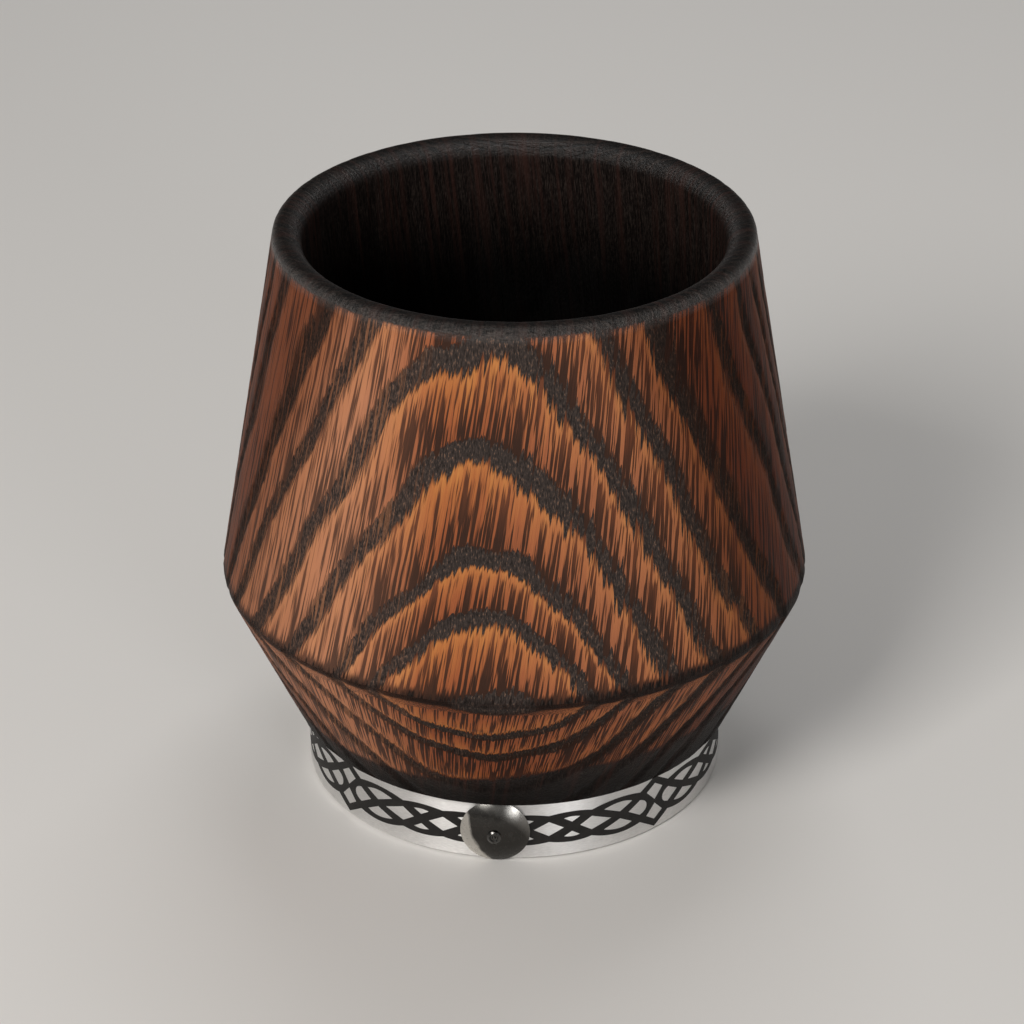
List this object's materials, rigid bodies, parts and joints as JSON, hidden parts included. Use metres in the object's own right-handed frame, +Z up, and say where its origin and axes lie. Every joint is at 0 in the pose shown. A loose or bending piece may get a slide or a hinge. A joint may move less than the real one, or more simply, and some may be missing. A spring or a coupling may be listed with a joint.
{
  "type": "wooden tumbler",
  "caption": "Turned wooden drinking tumbler of double-cone shape, charred and brushed, on a foot wrapped by a metal knotwork band held by a domed stud.",
  "frame": {"origin": "centre of the standing ring, on the table under the cup's axis", "axes": "+Z up along the cup's axis, -Y towards the stud that covers the band's joint"},
  "size_m": [0.0898, 0.0898, 0.0904],
  "materials": {
    "charred_wood": "flame-charred and brushed, vertical grain",
    "brushed_band": "fine brushed",
    "black_enamel": "matt black",
    "polished_stud": "polished dark nickel with fine scratches",
    "nail_steel": "worn steel"
  },
  "bodies": {
    "root": {"cup_body": "charred_wood", "foot_band": "brushed_band", "knotwork": "black_enamel", "stud_dome": "polished_stud", "stud_nail": "nail_steel"}
  },
  "joints": []
}
